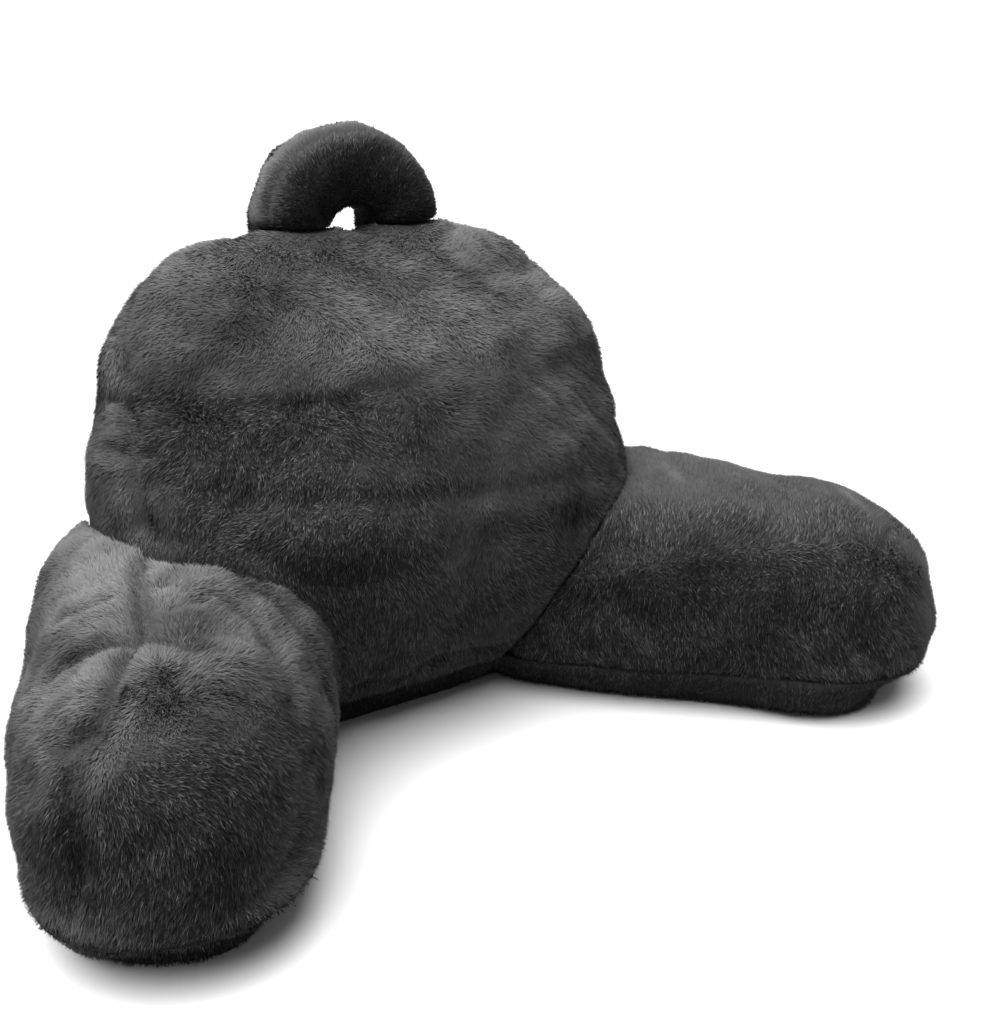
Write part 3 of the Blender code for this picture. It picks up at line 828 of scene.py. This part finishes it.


# In what follows a tone of painted light and shade is added to the pile's own.
# A pair is where something sets in and where it is full.

# The back cushion.
BACK_COMB = (1.6, 1.1)         # how far its pile runs out to the sides and to front and rear
BACK_DOWN = -0.9
CHANNEL_END = (0.02, 0.12)     # the channel, with its painted shade below and painted highlight above, runs out towards the right
LEFT_SEAM = (-0.252, -0.225)
PANEL_LOW = (0.09, 0.20)       # heights over which the painted shade on the panel grows
PANEL_LEAST = (0.4, 0.6)       # share of that painted shade at the base, and how much more is higher up
PANEL_LEFT = (-0.17, -0.02)
PANEL_PAINTED_SHADES = (0.59, 0.42)     # how much painted shade the panel has at its left, and how much less at its right
CHANNEL = (0.304, 0.316)
UNDER_CHANNEL_PAINTED_SHADE = (-0.15, 0.292, 0.018)      # painted shade under the channel: tone, height and half width
FULLEST_PAINTED_HIGHLIGHT = (0.34, 0.338, 0.020)             # the same of the painted highlight on the roll above it
FULLEST_LEFT = (-0.14, -0.03)
# painted light on the crown
CROWN_PAINTED_LIGHT, CROWN = 0.10, (0.32, 0.36)
BAND_PAINTED_LIGHT, BAND_LEFT, BAND_LOW = 0.52, (0.222, 0.245), (0.27, 0.32)     # painted light on the left side band
BACK_FRONT = (-0.35, -0.25)    # from the rear panel's slope to the side's

# The arms: a whorl that the left one's pile runs out from, and a line for the right one's.
LEFT_WHORL, RIGHT_WHORL = (-0.300, -0.120, 0.170), (0.172, -0.090, 0.130)
NO_LINE, RIGHT_LINE = (0.0, 0.0, 0.0), (0.85, -0.53, 0.0)
ARM_COMB = (0, -0.15, -0.45)

# The right arm: darker all over, with painted shade off its top, less low down, and painted light
# at its end.
RIGHT_TONE, RIGHT_PAINTED_SHADE, RIGHT_LOW_LESS = -0.30, 0.48, 0.28
RIGHT_LOW = (0.095, 0.140)
RIGHT_TOP_SLOPE, RIGHT_TOP = (0.20, 0.90), (0.155, 0.193)
RIGHT_END_PAINTED_LIGHT, RIGHT_END = 0.50, (0.15, 0.65)

# The left arm: painted shade off its top and on its front end, less on its sides and low down, and
# more beside its folds.
LEFT_TONE, LEFT_PAINTED_SHADE, LEFT_LOW_LESS = 0.08, 1.0, 0.25
LEFT_LOW = (0.05, 0.12)
LEFT_SIDES_LESS, LEFT_INNER_LESS, LEFT_INNER_SLOPE = 0.45, 0.25, (0.1, 0.5)
LEFT_TOP_SLOPE = (0.0, 0.93)
LEFT_END, LEFT_END_TOP, LEFT_END_SLOPE = (-0.17, -0.12), (0.150, 0.188), (0.2, 0.6)
LEFT_END_PAINTED_SHADE = 0.95
LEFT_FOLDS_PAINTED_SHADE, LEFT_FOLDS, LEFT_FOLDS_LOW = -0.18, (0.25, 0.6), (0.150, 0.175)

# The handle. Distances from its hole are over its outer radius.
HANDLE_COMB = (0, 0.30, 0)
# painted shade on the face round the hole, and painted highlight round the rim where it faces the
# sides
FACE_PAINTED_SHADE, FACE = 1.12, (0.64, 0.98)
RIM_PAINTED_HIGHLIGHT, RIM_SLOPE, RIM = 0.45, (0.60, 0.95), (0.7, 0.9)
HANDLE_TONE = 0.16
HANDLE_SEAMS = (-0.022, 0.014)             # the two seams, before and behind its middle
SEAM_RADIUS, SEAM = 0.95, (0.005, 0.004, 0.25)     # width, depth and painted shade
HANDLE_LENGTH = 0.8            # share of the pile's length

# The base.
BASE_COMB = (0, 0, -0.8)
BASE_LENGTH = 0.65
# painted shade: the base is darker all over
BASE_PAINTED_SHADE = -0.35
BASE_PILE, BASE_CLOTH = 0.80, 0.6          # brightness of its pile and cloth, lowered as painted shade

# How many strands each pile has.
STRANDS = {
    "back_front_pile": 198000,
    "back_rear_pile": 126000,
    "left_arm_pile": 185000,
    "right_arm_pile": 185000,
    "carry_handle_pile": 75000,
    "base_panel_pile": 60000,
}
# What each pile's random draws start from.
SEEDS = {
    "back_front_pile": 11,
    "back_rear_pile": 12,
    "left_arm_pile": 21,
    "right_arm_pile": 22,
    "carry_handle_pile": 31,
    "base_panel_pile": 41,
}


class PILLOW_OT_back(bpy.types.Operator):
    """Make the back cushion's cover and pile"""

    bl_idname = "pillow.back"
    bl_label = "Back Cushion"

    def execute(self, context):
        settings = context.scene.pillow
        cover = make_cover("back_cushion", "back_cushion_cover", settings.cover)
        dress(cover, "back_cushion", cover_material("back_cloth", settings.pile))
        low, high = (np.array(c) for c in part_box("back_cushion"))
        centre = (low + high) / 2

        def flow(points, normals):
            """Down, and outwards from the middle."""
            out = (points - centre) / (high - low)
            return np.column_stack([out[:, :2] * BACK_COMB, np.full(len(out), BACK_DOWN)])

        def shade(points, normals):
            """Painted shade below the channel, painted light above it, on the crown and on the
            left side.
            """
            height = points[:, 2]
            aside = points[:, 0]
            left = 1 - ramp(aside, *CHANNEL_END)
            under_channel = hump(height, *UNDER_CHANNEL_PAINTED_SHADE) * left
            least, more = PANEL_LEAST
            panel = ramp(aside, *LEFT_SEAM) * (least + more * ramp(height, *PANEL_LOW))
            panel = panel * (PANEL_PAINTED_SHADES[0] - PANEL_PAINTED_SHADES[1] * ramp(aside, *PANEL_LEFT))
            # painted shade on the front panel below the channel, darker at its left
            middle = -panel * (1 - ramp(height, *CHANNEL))
            fullest = hump(height, *FULLEST_PAINTED_HIGHLIGHT) * left * ramp(aside, *FULLEST_LEFT)
            crown = CROWN_PAINTED_LIGHT * ramp(height, *CROWN)
            band = BAND_PAINTED_LIGHT * ramp(-aside, *BAND_LEFT) * ramp(height, *BAND_LOW)
            return (under_channel + middle + fullest + crown + band) * front(points, normals)

        def front(points, normals):
            """1 on the front panel and the sides, 0 on the rear panel."""
            return ramp(-normals[:, 1], *BACK_FRONT)

        def rear(points, normals):
            """1 on the rear panel."""
            return 1 - front(points, normals)

        finish = pile_material("back_pile", settings.pile)
        for name, part in (("back_front_pile", front), ("back_rear_pile", rear)):
            piece = make_pile(
                "back_cushion", name, cover, flow, shade, settings.pile, part=part
            )
            dress(piece, "back_cushion", finish)
        return {"FINISHED"}


class PILLOW_OT_arms(bpy.types.Operator):
    """Make both arm bolsters' covers and pile"""

    bl_idname = "pillow.arms"
    bl_label = "Arm Bolsters"

    def execute(self, context):
        settings = context.scene.pillow
        cloth = cover_material("arm_cloth", settings.pile)
        finish = pile_material("arm_pile", settings.pile)
        for node, whorl, axis in (
            ("left_arm", np.array(LEFT_WHORL), np.array(NO_LINE)),
            ("right_arm", np.array(RIGHT_WHORL), np.array(RIGHT_LINE)),
        ):
            cover = make_cover(node, node + "_cover", settings.cover)
            dress(cover, node, cloth)

            def flow(points, normals, whorl=whorl, axis=axis):
                """Away from the whorl or the line, and down."""
                out = points - whorl
                out = out - (out @ axis)[:, None] * axis
                return unit(out) + ARM_COMB

            def shade(points, normals, node=node, axis=axis):
                """Painted light on top, painted shade where the arm faces the sitter."""
                height, upward = points[:, 2], normals[:, 2]
                if node == "right_arm":
                    low = 1 - ramp(height, *RIGHT_LOW)
                    top = np.minimum(ramp(upward, *RIGHT_TOP_SLOPE), ramp(height, *RIGHT_TOP))
                    end = RIGHT_END_PAINTED_LIGHT * ramp(normals @ axis, *RIGHT_END)
                    return RIGHT_TONE + end - (RIGHT_PAINTED_SHADE - RIGHT_LOW_LESS * low) * (1 - top)
                end = (1 - ramp(points[:, 1], *LEFT_END)) * (1 - ramp(height, *LEFT_END_TOP))
                end = end * ramp(-normals[:, 1], *LEFT_END_SLOPE)
                facing = np.maximum(1 - ramp(upward, *LEFT_TOP_SLOPE), LEFT_END_PAINTED_SHADE * end)
                aside = normals[:, 0]
                painted_shade = LEFT_PAINTED_SHADE - LEFT_SIDES_LESS * np.abs(aside)
                painted_shade = painted_shade - LEFT_INNER_LESS * ramp(aside, *LEFT_INNER_SLOPE)
                painted_shade = painted_shade - LEFT_LOW_LESS * (1 - ramp(height, *LEFT_LOW))
                beside = LEFT_FOLDS_PAINTED_SHADE * ramp(aside, *LEFT_FOLDS) * ramp(height, *LEFT_FOLDS_LOW)
                return LEFT_TONE + beside - painted_shade * facing

            piece = make_pile(node, node + "_pile", cover, flow, shade, settings.pile)
            dress(piece, node, finish)
        return {"FINISHED"}


class PILLOW_OT_handle(bpy.types.Operator):
    """Make the carry handle's cover and pile"""

    bl_idname = "pillow.handle"
    bl_label = "Carry Handle"

    def execute(self, context):
        settings = context.scene.pillow
        seams = [
            arc_lines(HOLE, SEAM_RADIUS * HANDLE_OUTER, HOLE[1] + side, *SEAM)
            for side in HANDLE_SEAMS
        ]
        CREASES["carry_handle"] = {k: np.concatenate([s[k] for s in seams]) for k in seams[0]}
        cover = make_cover("carry_handle", "carry_handle_cover", settings.cover)
        dress(cover, "carry_handle", cover_material("handle_cloth", settings.pile))

        def flow(points, normals):
            """Away from the hole, and to the rear."""
            out = points - HOLE
            out[:, 1] = 0
            return unit(out) + HANDLE_COMB

        def shade(points, normals):
            """Painted shade on the face, painted highlight round the rim."""
            out = points - HOLE
            away = np.hypot(out[:, 0], out[:, 2]) / HANDLE_OUTER
            rim = RIM_PAINTED_HIGHLIGHT * ramp(np.abs(normals[:, 0]), *RIM_SLOPE) * ramp(away, *RIM)
            return HANDLE_TONE + rim - FACE_PAINTED_SHADE * (1 - ramp(away, *FACE))

        piece = make_pile(
            "carry_handle", "carry_handle_pile", cover, flow, shade, settings.pile,
            length=HANDLE_LENGTH,
        )
        dress(piece, "carry_handle", pile_material("handle_pile", settings.pile))
        return {"FINISHED"}


class PILLOW_OT_base(bpy.types.Operator):
    """Make the base panel's cover and pile"""

    bl_idname = "pillow.base"
    bl_label = "Base Panel"

    def execute(self, context):
        settings = context.scene.pillow
        cover = make_cover("base_panel", "base_panel_cover", settings.cover)
        cloth = cover_material("base_cloth", settings.pile, BASE_CLOTH)
        dress(cover, "base_panel", cloth)

        def flow(points, normals):
            """Outwards and down."""
            return normals * (1, 1, 0) + BASE_COMB

        def shade(points, normals):
            """Painted shade all over."""
            return np.full(len(points), BASE_PAINTED_SHADE)

        piece = make_pile(
            "base_panel", "base_panel_pile", cover, flow, shade, settings.pile,
            length=BASE_LENGTH,
        )
        finish = pile_material("base_pile", settings.pile, BASE_PILE)
        dress(piece, "base_panel", finish)
        return {"FINISHED"}


# Floor, light and camera.
FLOOR_SIZE = 60
LIGHT_SPREAD = radians(66)     # how wide the light from above is
LIGHT_TILT = (radians(5), radians(-16), 0)
SENSOR_WIDTH = 36
FURTHEST = 200                 # how far the camera sees
CAMERA_AT = (-0.5463, -0.8992, 0.5986)
CAMERA_TARGET = (0.0582, 0.0265, 0.1704)


class PILLOW_OT_stage(bpy.types.Operator):
    """Make the floor, the light and the camera"""

    bl_idname = "pillow.stage"
    bl_label = "Stage"

    def execute(self, context):
        stage = context.scene.pillow.stage
        scene = context.scene
        shape = bmesh.new()
        bmesh.ops.create_grid(shape, x_segments=1, y_segments=1, size=FLOOR_SIZE)
        mesh = bpy.data.meshes.new("floor")
        shape.to_mesh(mesh)
        shape.free()
        floor = new_piece("floor", mesh)
        material = bpy.data.materials.new("floor")
        _, shader = shader_of(material)
        shader.inputs["Base Color"].default_value = (*stage.floor_colour, 1)
        shader.inputs["Roughness"].default_value = 1.0
        shader.inputs["Specular IOR Level"].default_value = 0.0
        mesh.materials.append(material)

        world = bpy.data.worlds.new("sky")
        scene.world = world
        world.use_nodes = True
        backdrop = world.node_tree.nodes["Background"]
        backdrop.inputs["Color"].default_value = (1, 1, 1, 1)
        backdrop.inputs["Strength"].default_value = stage.sky

        light = bpy.data.lights.new("overhead", "SUN")
        light.energy = stage.overhead
        light.angle = LIGHT_SPREAD
        lamp = bpy.data.objects.new("overhead", light)
        lamp.rotation_euler = Euler(LIGHT_TILT)
        scene.collection.objects.link(lamp)

        lens = bpy.data.cameras.new("camera")
        lens.lens = stage.lens
        lens.sensor_width = SENSOR_WIDTH
        lens.clip_end = FURTHEST
        camera = bpy.data.objects.new("camera", lens)
        camera.location = CAMERA_AT
        view = Vector(CAMERA_TARGET) - Vector(CAMERA_AT)
        camera.rotation_euler = view.to_track_quat("-Z", "Y").to_euler()
        scene.collection.objects.link(camera)
        scene.camera = camera
        scene.view_settings.view_transform = "Standard"
        return {"FINISHED"}


class PILLOW_PT_panel(bpy.types.Panel):
    """The pillow's settings, and a button for each piece"""

    bl_idname = "PILLOW_PT_panel"
    bl_label = "Back Support Pillow"
    bl_space_type = "VIEW_3D"
    bl_region_type = "UI"
    bl_category = "Pillow"

    def draw(self, context):
        settings = context.scene.pillow
        for group in (settings.cover, settings.pile, settings.stage):
            box = self.layout.box()
            for name in group.__annotations__:
                box.prop(group, name)
        for operator in OPERATORS:
            self.layout.operator(operator.bl_idname)


OPERATORS = (PILLOW_OT_stage, PILLOW_OT_back, PILLOW_OT_arms, PILLOW_OT_handle, PILLOW_OT_base)
GROUPS = (CoverSettings, PileSettings, StageSettings, PillowSettings)
CLASSES = (*GROUPS, *OPERATORS, PILLOW_PT_panel)


def register():
    """Make the settings, buttons and panel known to Blender"""
    for item in CLASSES:
        bpy.utils.register_class(item)
    bpy.types.Scene.pillow = PointerProperty(type=PillowSettings)


def unregister():
    """Take them away again"""
    del bpy.types.Scene.pillow
    for item in reversed(CLASSES):
        bpy.utils.unregister_class(item)


def main():
    """Make the whole pillow and its stage"""
    register()
    bpy.ops.pillow.stage()
    bpy.ops.pillow.back()
    bpy.ops.pillow.arms()
    bpy.ops.pillow.handle()
    bpy.ops.pillow.base()


if __name__ == "__main__":
    main()
